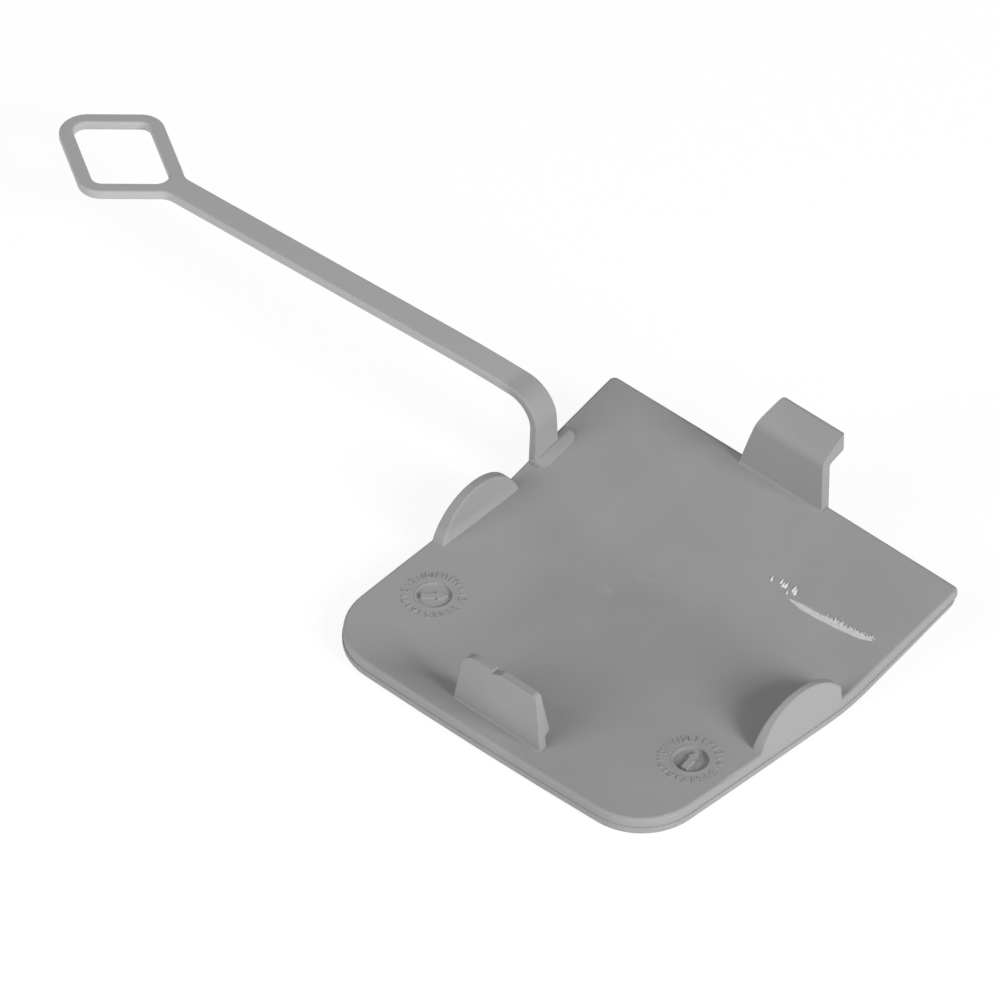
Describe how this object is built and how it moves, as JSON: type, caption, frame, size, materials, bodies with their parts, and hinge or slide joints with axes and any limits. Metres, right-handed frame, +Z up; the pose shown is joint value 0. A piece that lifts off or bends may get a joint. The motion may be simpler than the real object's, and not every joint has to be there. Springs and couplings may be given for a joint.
{
  "type": "bumper tow hook cover",
  "caption": "Moulded bumper cover panel for a tow hook opening, with a snap tab, a hook clip, half-round side tabs and a strap with a ring.",
  "frame": {"origin": "middle of the panel in plan, on the flat front half of its outer face, which it rests on", "axes": "+X along the panel's back edge, away from the strap; +Y from the snap tab to the hook clip; +Z up, out of the panel's inner face"},
  "size_m": [0.1594, 0.0665, 0.02],
  "materials": {
    "grey_plastic": "satin moulded, unpainted"
  },
  "bodies": {
    "root": {"cover": "grey_plastic"}
  },
  "joints": []
}
